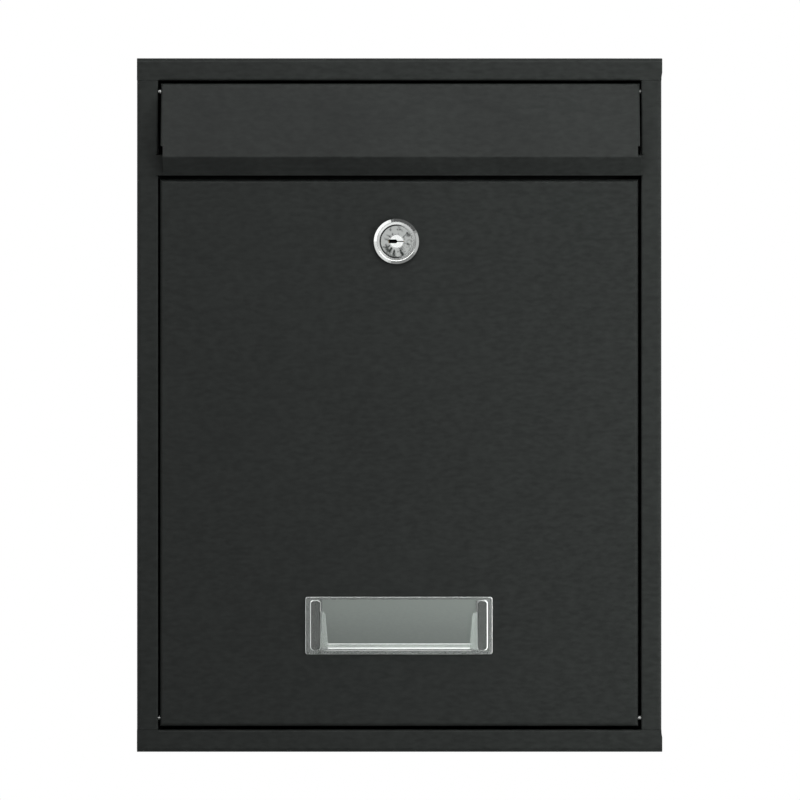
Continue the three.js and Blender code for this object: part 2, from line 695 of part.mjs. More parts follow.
function lockPlug() {
  const body = turned([
    [0, BOSS_FACE],
    [BOSS_R - 0.25, BOSS_FACE],
    [BOSS_R, BOSS_FACE + 0.25],
    [BOSS_R, PLUG_FACE],
    [PLUG_HEAD_R - 0.3, PLUG_FACE],
    [PLUG_HEAD_R, PLUG_FACE + 0.3],
    [PLUG_HEAD_R, 1.4],
    [PLUG_R, 1.4],
    [PLUG_R, PLUG_END],
    [0, PLUG_END],
  ]);
  const mouth = box(
    [-KEYWAY_WIDTH / 2, KEYWAY_WIDTH / 2],
    [BOSS_FACE - 1, BOSS_FACE + WARD_SET_BACK],
    [-KEYWAY_HEIGHT / 2, KEYWAY_HEIGHT / 2],
  );
  const tang = box([-TANG / 2, TANG / 2], [PLUG_END - 1, TANG_END], [-TANG / 2, TANG / 2]);
  const tapped = rod(2.1, KEYWAY_DEPTH + 0.8, TANG_END + 1, 0, 0, 16);
  const slots = [];
  for (let i = 0; i < WAFERS; i++) {
    const y = waferY(i);
    const thick = WAFER_THICKNESS / 2 + TOUCH;
    slots.push(box([-5, PLUG_R + 1], [y - thick, y + thick], [-2.6, 2.6]));
    slots.push(box([-3.2, 4.4], [y - 0.75, y + 0.75], [2.5, 4.6])); // the pocket of the wafer's spring
  }
  return cut(body.add(tang), mouth, alongY(keyway, BOSS_FACE - 1, KEYWAY_DEPTH), tapped, ...slots);
}

// A wafer tumbler: a brass plate with a window for the key, and an arm that its spring pushes on.
function wafer(i) {
  const y = [waferY(i) - WAFER_THICKNESS / 2, waferY(i) + WAFER_THICKNESS / 2];
  const plate = box([-4.8, 5.2], y, [-2.4, 2.4]);
  const arm = box([2.9, 3.9], y, [2, 4.3]);
  const window = box([WAFER_CUTS[i] - 4.1, WAFER_CUTS[i] + 3.9], [y[0] - 1, y[1] + 1], [-1.3, 1.3]);
  return cut(plate.add(arm), window);
}

// A small compression spring along X, as a square wire swept round a helix.
function waferSpring(i) {
  const turns = 4;
  const from = -3;
  const to = 2.6;
  const radius = 0.45;
  const height = 3.5; // above the plug's axis
  class Helix extends THREE.Curve {
    getPoint(t, target = new THREE.Vector3()) {
      const angle = 2 * Math.PI * turns * t;
      const across = radius * Math.cos(angle);
      const upward = radius * Math.sin(angle);
      return target.set(from + (to - from) * t, waferY(i) + across, height + upward);
    }
  }
  const wire = 0.14;
  const section = polygon([-wire, -wire], [wire, -wire], [wire, wire], [-wire, wire]);
  return solidOf(new THREE.ExtrudeGeometry(section, { steps: 8 * turns, extrudePath: new Helix() }));
}

function squareHole(y0, y1) {
  const half = SQUARE_HOLE / 2;
  return box([-half, half], [y0, y1], [-half, half]);
}

// The stop plate turns with the plug, and its lug meets a stop at each end of the quarter turn.
function stopPlate() {
  const [y0, y1] = STOP_PLATE;
  const disc = rod(STOP_PLATE_R, y0, y1, 0, 0, 28);
  const lugTurn = -THREE.MathUtils.radToDeg(STOP_LUG_ANGLE);
  const lug = box([7, 10.2], [y0, y1], [-2.2, 2.2]).rotate([0, lugTurn, 0]);
  return cut(disc.add(lug), squareHole(y0 - 1, y1 + 1));
}

// The cam: a flat lever with a round root and a rounded tip, towards +X when the door is free to open.
function lockCam() {
  const [y0, y1] = CAM;
  const tipCorner = 2.5;
  const half = CAM_TIP_WIDTH / 2;
  const spread = Math.asin(half / CAM_ROOT_R);
  const outline = new THREE.Shape();
  outline.absarc(0, 0, CAM_ROOT_R, spread, 2 * Math.PI - spread);
  outline.absarc(CAM_REACH - tipCorner, -half + tipCorner, tipCorner, -Math.PI / 2, 0);
  outline.absarc(CAM_REACH - tipCorner, half - tipCorner, tipCorner, 0, Math.PI / 2);
  return cut(alongY(outline, y0, y1, 8), squareHole(y0 - 1, y1 + 1));
}

function camScrew() {
  const seat = TANG_END + TOUCH + 0.8;
  const head = 2.2;
  const body = turned(
    [
      [0, KEYWAY_DEPTH + 1.6],
      [1.9, KEYWAY_DEPTH + 1.6],
      [1.9, seat],
      [3.9, seat],
      [3.9, seat + head * 0.5],
      [2.8, seat + head * 0.9],
      [0, seat + head],
    ],
    24,
  );
  const blade = 0.45;
  const reach = 2;
  const deep = [seat + head - 1.3, seat + head + 1];
  return cut(
    body,
    box([-reach, reach], deep, [-blade, blade]),
    box([-blade, blade], deep, [-reach, reach]),
  );
}

function hexNut() {
  const acrossFlats = 24;
  const [y0, y1] = [SHEET + TOUCH + 0.8, SHEET + TOUCH + 4];
  const corner = acrossFlats / Math.sqrt(3);
  return cut(rod(corner, y0, y1, 0, 0, 6), rod(BARREL_R + 0.2, y0 - 1, y1 + 1, 0, 0, 32));
}

piece(lock, "lock_housing", lockHousing(), nickel);
piece(lock, "lock_washer", ring(BARREL_R + 0.3, 12.4, SHEET + TOUCH, SHEET + TOUCH + 0.7), zinc);
piece(lock, "lock_nut", hexNut(), nickel);
piece(lock, "lock_plug", lockPlug(), nickel);
piece(lock, "cam_stop_plate", stopPlate(), zinc);
piece(lock, "lock_cam", lockCam(), zinc);
piece(lock, "cam_washer", ring(2.3, 4.8, TANG_END + TOUCH, TANG_END + TOUCH + 0.7, 24), zinc);
piece(lock, "cam_screw", camScrew(), zinc);
for (let i = 0; i < WAFERS; i++) {
  piece(lock, `wafer_${i + 1}`, wafer(i), brass);
  piece(lock, `wafer_spring_${i + 1}`, waferSpring(i), springSteel);
}

// ---------------------------------------------------------------- inlet flap

// The flap's group is at its pivot axis.
const flap = new THREE.Group();
flap.position.set(FLAP_SHIFT, FRONT + FLAP_AXIS_DEPTH, FLAP_AXIS_Z);
mailbox.add(flap);

function inletFlap() {
  // Middle-line points of the sheet, from the top of the face to the lip's lower edge.
  const top = [-FLAP_FACE_IN_FRONT + HALF_SHEET, FLAP_TOP - HALF_SHEET];
  const crease = [-FLAP_AXIS_DEPTH - CREASE_PROUD + HALF_SHEET, CREASE_Z - FLAP_AXIS_Z];
  const lipEnd = [-FLAP_AXIS_DEPTH - LIP_PROUD + HALF_SHEET, LIP_Z - FLAP_AXIS_Z];
  const topReturn = [top[0] + FLAP_TOP_RETURN, top[1]];
  const bent = (corner) => [...corner, FLAP_BEND];
  const slope = Math.atan2(top[0] - crease[0], top[1] - crease[1]);
  const down = (distance) => [
    crease[0] + distance * Math.sin(slope),
    crease[1] + distance * Math.cos(slope),
  ];
  const bodyHalf = FLAP_HALF_WIDTH - FLAP_BEND;
  const body = alongX(bentSheet([topReturn, bent(top), bent(crease), lipEnd]), -bodyHalf, bodyHalf);
  const aboveCrease = box([LIP_LEFT - 1, LIP_RIGHT + 1], [-20, 5], [crease[1] + 0.4, 10]);
  const lip = cut(alongX(bentSheet([down(3), bent(crease), lipEnd]), LIP_LEFT, LIP_RIGHT), aboveCrease);
  // The face with its two ears, as a channel that runs down the slope, trimmed to the ears' side outline.
  const earDeep = 20;
  const edge = FLAP_HALF_WIDTH - HALF_SHEET;
  const channel = new THREE.ExtrudeGeometry(
    bentSheet([
      [-edge, earDeep],
      bent([-edge, 0]),
      bent([edge, 0]),
      [edge, earDeep],
    ]),
    { depth: 60, bevelEnabled: false },
  );
  channel.translate(0, 0, -10).rotateX(-slope).translate(0, crease[0], crease[1]);
  const earOutline = polygon(
    [-30, EAR_BOTTOM],
    [-1.5, EAR_BOTTOM],
    [EAR_BACK, EAR_STRAIGHT],
    [EAR_BACK, FLAP_TOP],
    [-FLAP_FACE_IN_FRONT + EAR_TOP_CHAMFER, FLAP_TOP],
    [-30, FLAP_TOP - (30 - FLAP_FACE_IN_FRONT + EAR_TOP_CHAMFER)],
  );
  const ears = solidOf(channel).intersect(alongX(earOutline, -WIDTH / 2, WIDTH / 2));
  // Rounds the lip's lower corners.
  const lipBottom = lipEnd[1] - 1;
  const rounding = [LIP_RIGHT, LIP_LEFT].map((x) => {
    const corner = new THREE.Shape();
    const side = Math.sign(x);
    corner.moveTo(x + side * 2, lipBottom - 1);
    corner.lineTo(x + side * 2, lipBottom + 1 + LIP_CORNER);
    corner.lineTo(x, lipBottom + 1 + LIP_CORNER);
    corner.quadraticCurveTo(x, lipBottom + 0.6, x - side * LIP_CORNER, lipBottom + 0.6);
    corner.lineTo(x - side * LIP_CORNER, lipBottom - 1);
    return alongY(corner, -20, 5, 5);
  });
  const pivotHoles = crossRod(PIN_HOLE_R, -FLAP_HALF_WIDTH - 1, FLAP_HALF_WIDTH + 1);
  return cut(join(body, lip, ears), ...rounding, pivotHoles);
}

piece(flap, "inlet_flap", inletFlap(), paint);

export default mailbox;
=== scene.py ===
import json
import math

import bpy
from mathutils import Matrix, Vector

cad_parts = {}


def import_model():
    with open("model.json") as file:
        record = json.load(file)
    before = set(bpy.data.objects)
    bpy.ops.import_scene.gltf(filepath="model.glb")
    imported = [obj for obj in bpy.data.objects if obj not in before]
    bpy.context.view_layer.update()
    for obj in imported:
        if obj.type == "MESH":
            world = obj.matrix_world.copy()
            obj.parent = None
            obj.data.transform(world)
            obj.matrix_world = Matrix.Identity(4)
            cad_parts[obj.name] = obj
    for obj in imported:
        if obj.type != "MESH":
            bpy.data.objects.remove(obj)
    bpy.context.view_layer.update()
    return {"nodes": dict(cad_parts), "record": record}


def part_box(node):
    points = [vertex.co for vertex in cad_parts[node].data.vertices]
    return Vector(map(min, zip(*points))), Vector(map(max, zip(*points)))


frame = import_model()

# ---------------------------------------------------------------- sizes, in metres

MM = 0.001
FRONT_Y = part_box("wrap_shell")[0][1]
CAMERA_DISTANCE = 3.5  # from the front of the box
VIEW_WIDTH = 0.4035  # what the picture's width covers at the front of the box
VIEW_CENTRE = (0.2 * MM, 2.54 * MM)  # x and z of the middle of the picture
SENSOR = 36  # millimetres
FLOOR_Z = -1.25
FLOOR_HALF = 2.5
BOSS_RADIUS = 3.55 * MM  # of the raised middle of the lock's plug
PLUG_RIM_RADIUS = 7.8 * MM  # where the plug's bright chamfer begins
PLUG_WALL_RADIUS = 8.07 * MM  # where that chamfer ends
SEAM_RADIUS = 8.5 * MM  # of the bezel's inner edge, round the seam
PLATE_BEHIND_POSTS = 2.7 * MM  # from the front of the name holder's posts to its plate
POST_INNER = 39.3 * MM  # from the middle of the holder to its posts
LEDGE_TOP = 5.45 * MM  # above the holder's lower edge
LEDGE_STEP = 3.1 * MM  # the step in the ledge's front, above that edge
LEDGE_HALF = 35.6 * MM  # half the length of the ledge between the side lips
LIP_TOP = 21.5 * MM  # the tips of the side lips, above that edge
SOFT_STEP = 0.1 * MM  # over which one part's look passes into the next

# ---------------------------------------------------------------- node helpers

# A Mix node has sockets of the same names for values, vectors and colours. These are the colours' places.
MIX_COLOUR_INPUTS = (6, 7)
MIX_COLOUR_OUTPUT = 2


def new_material(name):
    material = bpy.data.materials.new(name)
    material.use_nodes = True
    tree = material.node_tree
    shader = tree.nodes["Principled BSDF"]
    return material, tree, shader


def link(tree, source, target):
    tree.links.new(source, target)


def object_coordinates(tree, scale):
    """Object coordinates in metres, stretched by scale."""
    coordinates = tree.nodes.new("ShaderNodeTexCoord")
    mapping = tree.nodes.new("ShaderNodeMapping")
    mapping.inputs["Scale"].default_value = scale
    link(tree, coordinates.outputs["Object"], mapping.inputs["Vector"])
    return mapping.outputs["Vector"]


def noise(tree, scale, detail=2.0, roughness=0.5, stretch=(1, 1, 1)):
    """A noise value from 0 to 1, with scale in features per metre."""
    texture = tree.nodes.new("ShaderNodeTexNoise")
    texture.inputs["Scale"].default_value = scale
    texture.inputs["Detail"].default_value = detail
    texture.inputs["Roughness"].default_value = roughness
    link(tree, object_coordinates(tree, stretch), texture.inputs["Vector"])
    return texture.outputs["Fac"]


def spread(tree, value, low, high, centre=0.5, width=0.3):
    """Maps a noise value about its centre to the range from low to high."""
    node = tree.nodes.new("ShaderNodeMapRange")
    node.inputs["From Min"].default_value = centre - width
    node.inputs["From Max"].default_value = centre + width
    node.inputs["To Min"].default_value = low
    node.inputs["To Max"].default_value = high
    link(tree, value, node.inputs["Value"])
    return node.outputs["Result"]


def math_node(tree, operation, first, second=None):
    """The result of a Math node on one or two values, each a socket or a number."""
    node = tree.nodes.new("ShaderNodeMath")
    node.operation = operation
    for socket, value in zip(node.inputs, (first, second)):
        if isinstance(value, bpy.types.NodeSocket):
            link(tree, value, socket)
        elif value is not None:
            socket.default_value = value
    return node.outputs["Value"]


def product(tree, first, *rest):
    result = first
    for value in rest:
        result = math_node(tree, "MULTIPLY", result, value)
    return result


def total(tree, first, *rest):
    result = first
    for value in rest:
        result = math_node(tree, "ADD", result, value)
    return result


def split_vector(tree, vector):
    """The X, Y and Z of a vector."""
    node = tree.nodes.new("ShaderNodeSeparateXYZ")
    link(tree, vector, node.inputs["Vector"])
    return tuple(node.outputs[name] for name in "XYZ")


def smooth_step(tree, value, start, end, low=0.0, high=1.0):
    """Goes smoothly from low at start to high at end."""
    node = tree.nodes.new("ShaderNodeMapRange")
    node.interpolation_type = "SMOOTHSTEP"
    node.inputs["From Min"].default_value = min(start, end)
    node.inputs["From Max"].default_value = max(start, end)
    node.inputs["To Min"].default_value = low if start < end else high
    node.inputs["To Max"].default_value = high if start < end else low
    link(tree, value, node.inputs["Value"])
    return node.outputs["Result"]


def shades(tree, value, dark, light, low=0.3, high=0.7):
    """A colour between dark, where the value is low, and light, where it is high."""
    ramp = tree.nodes.new("ShaderNodeValToRGB")
    ramp.color_ramp.elements[0].position = low
    ramp.color_ramp.elements[0].color = (*dark, 1)
    ramp.color_ramp.elements[1].position = high
    ramp.color_ramp.elements[1].color = (*light, 1)
    link(tree, value, ramp.inputs["Fac"])
    return ramp.outputs["Color"]


def mixed(tree, factor, first, second):
    """A colour from first, where factor is nothing, to second. Each is a socket or a colour."""
    mix = tree.nodes.new("ShaderNodeMix")
    mix.data_type = "RGBA"
    link(tree, factor, mix.inputs["Factor"])
    for index, colour in zip(MIX_COLOUR_INPUTS, (first, second)):
        if isinstance(colour, bpy.types.NodeSocket):
            link(tree, colour, mix.inputs[index])
        else:
            mix.inputs[index].default_value = colour
    return mix.outputs[MIX_COLOUR_OUTPUT]


def bump(tree, height, strength, distance, before=None):
    node = tree.nodes.new("ShaderNodeBump")
    node.inputs["Strength"].default_value = strength
    node.inputs["Distance"].default_value = distance
    link(tree, height, node.inputs["Height"])
    if before is not None:
        link(tree, before, node.inputs["Normal"])
    return node.outputs["Normal"]


# ---------------------------------------------------------------- materials

# Each metal as plated() takes it: dark and light colours, roughness from and to, grain scale and grain depth.
NICKEL = ((0.66, 0.68, 0.665), (0.76, 0.78, 0.765), (0.09, 0.14), 900, 0.006 * MM)
ZINC = ((0.44, 0.45, 0.44), (0.56, 0.57, 0.55), (0.3, 0.44), 1400, 0.02 * MM)
BRASS = ((0.5, 0.34, 0.13), (0.62, 0.45, 0.2), (0.28, 0.4), 1400, 0.02 * MM)
SPRING_STEEL = ((0.28, 0.29, 0.3), (0.38, 0.38, 0.38), (0.28, 0.4), 1400, 0.02 * MM)
# The black of the painted shade in the lock's seams and keyway.
PAINTED_SHADE_BLACK = (0.004, 0.004, 0.004, 1)
CLEARNESS = 0.975  # how much of the light passes through the plastic where there is no haze
# White haze for the painted highlight along the plastic's rounded edges.
EDGE_HIGHLIGHT_HAZE = 0.9
# Haze that paints the brightness of reflections on the side lips and the ledge.
LIP_REFLECTION_HAZE = 0.012
LEDGE_REFLECTION_HAZE = (0.07, 0.04)  # below the ledge's step and above it
STROKES_ROUND = 3.2  # the radius in noise features of the ring that the lock's stains are taken from
STROKES_OUTWARD = 420  # features per metre away from the lock's axis


def painted_steel(name, clouding):
    """Satin black paint over sheet steel with fine level brushing, and a little uneven by clouding."""
    material, tree, shader = new_material(name)
    streaks = noise(tree, 1.0, detail=2.0, roughness=0.55, stretch=(225, 225, 545))
    grain = noise(tree, 2600, detail=2.0, roughness=0.6)
    patches = noise(tree, 22, detail=3.0, roughness=0.55)
    dark = (0.0080, 0.0089, 0.0084)
    light = (0.0114, 0.0127, 0.0120)
    tone = shades(tree, streaks, dark, light)
    clouded = tree.nodes.new("ShaderNodeVectorMath")
    clouded.operation = "SCALE"
    link(tree, tone, clouded.inputs[0])
    link(tree, spread(tree, patches, 1 - clouding, 1 + clouding), clouded.inputs["Scale"])
    link(tree, clouded.outputs["Vector"], shader.inputs["Base Color"])
    link(tree, spread(tree, patches, 0.38, 0.44), shader.inputs["Roughness"])
    shader.inputs["Specular IOR Level"].default_value = 0.1
    brushed = bump(tree, streaks, strength=0.15, distance=0.02 * MM)
    grainy = bump(tree, grain, strength=0.25, distance=0.03 * MM, before=brushed)
    link(tree, grainy, shader.inputs["Normal"])
    return material


def plated(name, dark, light, roughness, grain_scale, grain_depth):
    """Plated or bare metal with a fine grain."""
    material, tree, shader = new_material(name)
    grain = noise(tree, grain_scale, detail=3.0, roughness=0.6)
    clouds = noise(tree, grain_scale * 0.06)
    link(tree, shades(tree, clouds, dark, light), shader.inputs["Base Color"])
    link(tree, spread(tree, grain, *roughness), shader.inputs["Roughness"])
    link(tree, bump(tree, grain, strength=0.4, distance=grain_depth), shader.inputs["Normal"])
    shader.inputs["Metallic"].default_value = 1.0
    return material


def from_lock_axis(tree):
    """How far a point is to the right of the lock's axis, above it, and from it, and its depth."""
    low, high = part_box("lock_plug")
    centre = (low + high) / 2
    coordinates = tree.nodes.new("ShaderNodeTexCoord")
    x, y, z = split_vector(tree, coordinates.outputs["Object"])
    across = math_node(tree, "SUBTRACT", x, centre.x)
    upward = math_node(tree, "SUBTRACT", z, centre.z)
    squared = total(tree, product(tree, across, across), product(tree, upward, upward))
    depth = math_node(tree, "SUBTRACT", y, low.y)
    return across, upward, math_node(tree, "SQRT", squared), depth


def bezel_metal():
    """The lock's nickel plate, with painted shade in the seam round the plug, most of it on the left, where
    that seam's wall falls in shadow.
    """
    material = plated("nickel_bezel", *NICKEL)
    tree = material.node_tree
    base = tree.nodes["Principled BSDF"].inputs["Base Color"]
    across, _, radius, _ = from_lock_axis(tree)
    # Painted shade: black in the seam round the plug, most of it on the left, where the seam's wall is in
    # shadow.
    shaded_seam = smooth_step(tree, radius, SEAM_RADIUS + SOFT_STEP, SEAM_RADIUS)
    shaded_seam = product(tree, shaded_seam, smooth_step(tree, across, 5 * MM, -2 * MM, 0.2, 0.9))
    link(tree, mixed(tree, shaded_seam, base.links[0].from_socket, PAINTED_SHADE_BLACK), base)
    return material


def lock_stains(tree, across, upward, radius):
    """Dull metal with dark strokes that run away from the middle, darkest towards the bottom."""
    angle = math_node(tree, "ARCTAN2", upward, across)
    polar = tree.nodes.new("ShaderNodeCombineXYZ")
    link(tree, product(tree, math_node(tree, "COSINE", angle), STROKES_ROUND), polar.inputs["X"])
    link(tree, product(tree, math_node(tree, "SINE", angle), STROKES_ROUND), polar.inputs["Y"])
    link(tree, product(tree, radius, STROKES_OUTWARD), polar.inputs["Z"])
    strokes = tree.nodes.new("ShaderNodeTexNoise")
    strokes.inputs["Scale"].default_value = 1.0
    strokes.inputs["Detail"].default_value = 2.0
    link(tree, polar.outputs["Vector"], strokes.inputs["Vector"])
    bottom = smooth_step(tree, upward, -3.2 * MM, -5.5 * MM, 0.0, 0.1)
    stains = math_node(tree, "SUBTRACT", strokes.outputs["Fac"], bottom)
    return shades(tree, stains, (0.05, 0.056, 0.052), (0.56, 0.58, 0.565), 0.33, 0.5)


def lock_face():
    """The plug: bright plate on the raised boss and the rim, stained metal between, and painted shade, black
    in the keyway and in the seam round the plug.
    """
    material, tree, shader = new_material("nickel_plug")
    across, upward, radius, depth = from_lock_axis(tree)
    outside_boss = smooth_step(tree, radius, BOSS_RADIUS, BOSS_RADIUS + 0.2 * MM)
    inside_rim = smooth_step(tree, radius, PLUG_RIM_RADIUS, PLUG_RIM_RADIUS - SOFT_STEP)
    dull = product(tree, outside_boss, inside_rim)
    face = mixed(tree, dull, (0.86, 0.88, 0.865, 1), lock_stains(tree, across, upward, radius))
    # Painted shade: black inside the keyway and deeper than the face, and in the seam round the plug's wall.
    shaded_inside = smooth_step(tree, depth, 0.9 * MM, 1.6 * MM)
    shaded_seam = smooth_step(tree, radius, PLUG_WALL_RADIUS - 0.05 * MM, PLUG_WALL_RADIUS)
    painted_shade = math_node(tree, "MAXIMUM", shaded_inside, shaded_seam)
    link(tree, mixed(tree, painted_shade, face, PAINTED_SHADE_BLACK), shader.inputs["Base Color"])
    link(tree, spread(tree, dull, 0.12, 0.4, centre=0.5, width=0.5), shader.inputs["Roughness"])
    grain = noise(tree, 1500, detail=3.0, roughness=0.6)
    link(tree, bump(tree, grain, strength=0.4, distance=0.015 * MM), shader.inputs["Normal"])
    shader.inputs["Metallic"].default_value = 1.0
    return material


def painted_edge_highlight(tree, offset, normal_x, normal_y):
    """Where the rounded edges take the painted highlight. Those that face away from the holder's middle count
    the most.
    """
    forward = math_node(tree, "ABSOLUTE", normal_y)
    highlight_edge = product(tree, smooth_step(tree, forward, 0.97, 0.8), smooth_step(tree, forward, 0.05, 0.3))
    outward = product(tree, normal_x, math_node(tree, "SIGN", offset))
    return product(tree, highlight_edge, smooth_step(tree, outward, -0.1, 0.5, 0.35, 1.0))


def reflection_haze(tree, sideways, height, raised, beside):
    """Haze that paints the brightness of reflections on the ledge, which differs above and below its step,
    and on the side lips.
    """
    between = smooth_step(tree, sideways, LEDGE_HALF, LEDGE_HALF - 0.2 * MM)
    below_top = smooth_step(tree, height, LEDGE_TOP + SOFT_STEP, LEDGE_TOP)
    step = smooth_step(tree, height, LEDGE_STEP - SOFT_STEP, LEDGE_STEP + SOFT_STEP, *LEDGE_REFLECTION_HAZE)
    ledge = product(tree, raised, between, below_top, step)
    below_tip = smooth_step(tree, height, LIP_TOP + SOFT_STEP, LIP_TOP)
    not_post = math_node(tree, "SUBTRACT", 1.0, beside)
    not_ledge = math_node(tree, "SUBTRACT", 1.0, between)
    lip = product(tree, raised, not_post, not_ledge, below_tip, LIP_REFLECTION_HAZE)
    return total(tree, ledge, lip)


def pass_shadow_rays(tree, shader):
    """Lets most light go on through the plastic, to what is behind it."""
    rays = tree.nodes.new("ShaderNodeLightPath")
    through = tree.nodes.new("ShaderNodeBsdfTransparent")
    through.inputs["Color"].default_value = (0.8, 0.82, 0.81, 1)
    blend = tree.nodes.new("ShaderNodeMixShader")
    link(tree, rays.outputs["Is Shadow Ray"], blend.inputs["Fac"])
    link(tree, shader.outputs["BSDF"], blend.inputs[1])
    link(tree, through.outputs["BSDF"], blend.inputs[2])
    link(tree, blend.outputs["Shader"], tree.nodes["Material Output"].inputs["Surface"])


def clear_plastic():
    """Clear moulded plastic, with painted shade that darkens the posts, and painted highlights of white haze
    along its rounded edges and on the ledge and side lips.
    """
    material, tree, shader = new_material("clear_plastic")
    low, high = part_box("name_holder")
    middle = (low + high) / 2
    coordinates = tree.nodes.new("ShaderNodeTexCoord")
    x, y, z = split_vector(tree, coordinates.outputs["Object"])
    normal_x, normal_y, _ = split_vector(tree, coordinates.outputs["Normal"])
    offset = math_node(tree, "SUBTRACT", x, middle.x)
    sideways = math_node(tree, "ABSOLUTE", offset)
    height = math_node(tree, "SUBTRACT", z, low.z)
    beside = smooth_step(tree, sideways, POST_INNER - 0.2 * MM, POST_INNER)
    plate_y = low.y + PLATE_BEHIND_POSTS
    raised = smooth_step(tree, y, plate_y, plate_y - 0.3 * MM)
    highlight_edge = painted_edge_highlight(tree, offset, normal_x, normal_y)
    painted_haze = reflection_haze(tree, sideways, height, raised, beside)
    # The painted highlight on the edges, or the painted reflection haze of the ledge and lips, whichever is
    # more.
    painted_haze = math_node(tree, "MAXIMUM", product(tree, highlight_edge, EDGE_HIGHLIGHT_HAZE), painted_haze)
    flow = noise(tree, 60)
    milky = shades(tree, flow, (0.80, 0.84, 0.815), (0.88, 0.92, 0.895))
    # Painted shade: a darker tint in the posts, in place of the dark door that shows through them.
    dark = shades(tree, flow, (0.40, 0.43, 0.41), (0.47, 0.50, 0.48))
    post_shade_tint = mixed(tree, product(tree, beside, raised), milky, dark)
    # Near-white at the rounded edges, a painted highlight.
    link(tree, mixed(tree, highlight_edge, post_shade_tint, (0.93, 0.95, 0.94, 1)), shader.inputs["Base Color"])
    link(tree, math_node(tree, "SUBTRACT", CLEARNESS, painted_haze), shader.inputs["Transmission Weight"])
    link(tree, spread(tree, flow, 0.02, 0.05), shader.inputs["Roughness"])
    link(tree, bump(tree, flow, strength=0.05, distance=0.1 * MM), shader.inputs["Normal"])
    shader.inputs["IOR"].default_value = 1.49
    pass_shadow_rays(tree, shader)
    return material


def grey_card():
    """Plain grey card with visible fibres, a little paler towards its top: painted shade, as from the holder
    over its lower part.
    """
    material, tree, shader = new_material("card")
    fibres = noise(tree, 1400, detail=4.0, roughness=0.7, stretch=(0.4, 1, 1.4))
    low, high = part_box("name_card")
    coordinates = tree.nodes.new("ShaderNodeTexCoord")
    _, _, z = split_vector(tree, coordinates.outputs["Object"])
    # Painted shade: the card is darker towards its bottom, as in the holder's shadow.
    painted_light_upward = smooth_step(tree, z, low.z, high.z)
    fibres_and_painted_shade = total(tree, product(tree, fibres, 0.6), product(tree, painted_light_upward, 0.4))
    greys = shades(tree, fibres_and_painted_shade, (0.063, 0.0711, 0.0663), (0.0902, 0.1015, 0.0943))
    link(tree, greys, shader.inputs["Base Color"])
    link(tree, spread(tree, fibres, 0.6, 0.8), shader.inputs["Roughness"])
    link(tree, bump(tree, fibres, strength=0.3, distance=0.03 * MM), shader.inputs["Normal"])
    return material


def black_rubber():
    material, tree, shader = new_material("rubber")
    grain = noise(tree, 1800, detail=3.0, roughness=0.6)
    link(tree, shades(tree, grain, (0.012, 0.012, 0.012), (0.024, 0.024, 0.024)), shader.inputs["Base Color"])
    link(tree, spread(tree, grain, 0.65, 0.85), shader.inputs["Roughness"])
    link(tree, bump(tree, grain, strength=0.5, distance=0.05 * MM), shader.inputs["Normal"])
    return material


PLAIN_CLOUDING = 0.04
FLAP_CLOUDING = 0.2
materials = {
    "painted_steel": painted_steel("painted_steel", PLAIN_CLOUDING),
    "nickel": plated("nickel", *NICKEL),
    "zinc": plated("zinc", *ZINC),
    "brass": plated("brass", *BRASS),
    "spring_steel": plated("spring_steel", *SPRING_STEEL),
    "clear_plastic": clear_plastic(),
    "card": grey_card(),
    "rubber": black_rubber(),
}
special_materials = {
    "lock_plug": lock_face(),
    "lock_housing": bezel_metal(),
    "inlet_flap": painted_steel("painted_flap", FLAP_CLOUDING),
}

# ---------------------------------------------------------------- CAD nodes


def smoothing(angle):
    """A modifier tree that shades faces smooth across edges under an angle."""
    group = bpy.data.node_groups.new("smooth_bends", "GeometryNodeTree")
    group.interface.new_socket("Geometry", in_out="INPUT", socket_type="NodeSocketGeometry")
    group.interface.new_socket("Geometry", in_out="OUTPUT", socket_type="NodeSocketGeometry")
    nodes = group.nodes
    source = nodes.new("NodeGroupInput")
    target = nodes.new("NodeGroupOutput")
    faces = nodes.new("GeometryNodeSetShadeSmooth")
    faces.domain = "FACE"
    faces.inputs["Shade Smooth"].default_value = True
    edges = nodes.new("GeometryNodeSetShadeSmooth")
    edges.domain = "EDGE"
    edge_angle = nodes.new("GeometryNodeInputMeshEdgeAngle")
    compare = nodes.new("FunctionNodeCompare")
    compare.data_type = "FLOAT"
    compare.operation = "LESS_THAN"
    compare.inputs[1].default_value = angle
    link(group, edge_angle.outputs["Unsigned Angle"], compare.inputs[0])
    link(group, compare.outputs["Result"], edges.inputs["Shade Smooth"])
    link(group, source.outputs[0], faces.inputs["Geometry"])
    link(group, faces.outputs["Geometry"], edges.inputs["Geometry"])
    link(group, edges.outputs["Geometry"], target.inputs[0])
    return group


SMOOTH_ANGLE = math.radians(35)
smooth_bends = smoothing(SMOOTH_ANGLE)
slot_of = {entry["node"]: entry["material_slot"] for entry in frame["record"]["subparts"]}


def finish_node(name):
    """Gives a CAD node its material and smooth bends."""
    obj = frame["nodes"][name]
    obj.data.materials.clear()
    obj.data.materials.append(special_materials.get(name, materials[slot_of[name]]))
    modifier = obj.modifiers.new("smooth", "NODES")
    modifier.node_group = smooth_bends
    modifier = obj.modifiers.new("flat_faces_stay_flat", "WEIGHTED_NORMAL")
    modifier.keep_sharp = True


for node in frame["nodes"]:
    finish_node(node)

# ---------------------------------------------------------------- stage


def plane(name, centre, half):
    x, y, z = centre
    mesh = bpy.data.meshes.new(name)
    corners = [
        (x - half, y - half, z),
        (x + half, y - half, z),
        (x + half, y + half, z),
        (x - half, y + half, z),
    ]
    mesh.from_pydata(corners, [], [(0, 1, 2, 3)])
    obj = bpy.data.objects.new(name, mesh)
    bpy.context.scene.collection.objects.link(obj)
    return obj


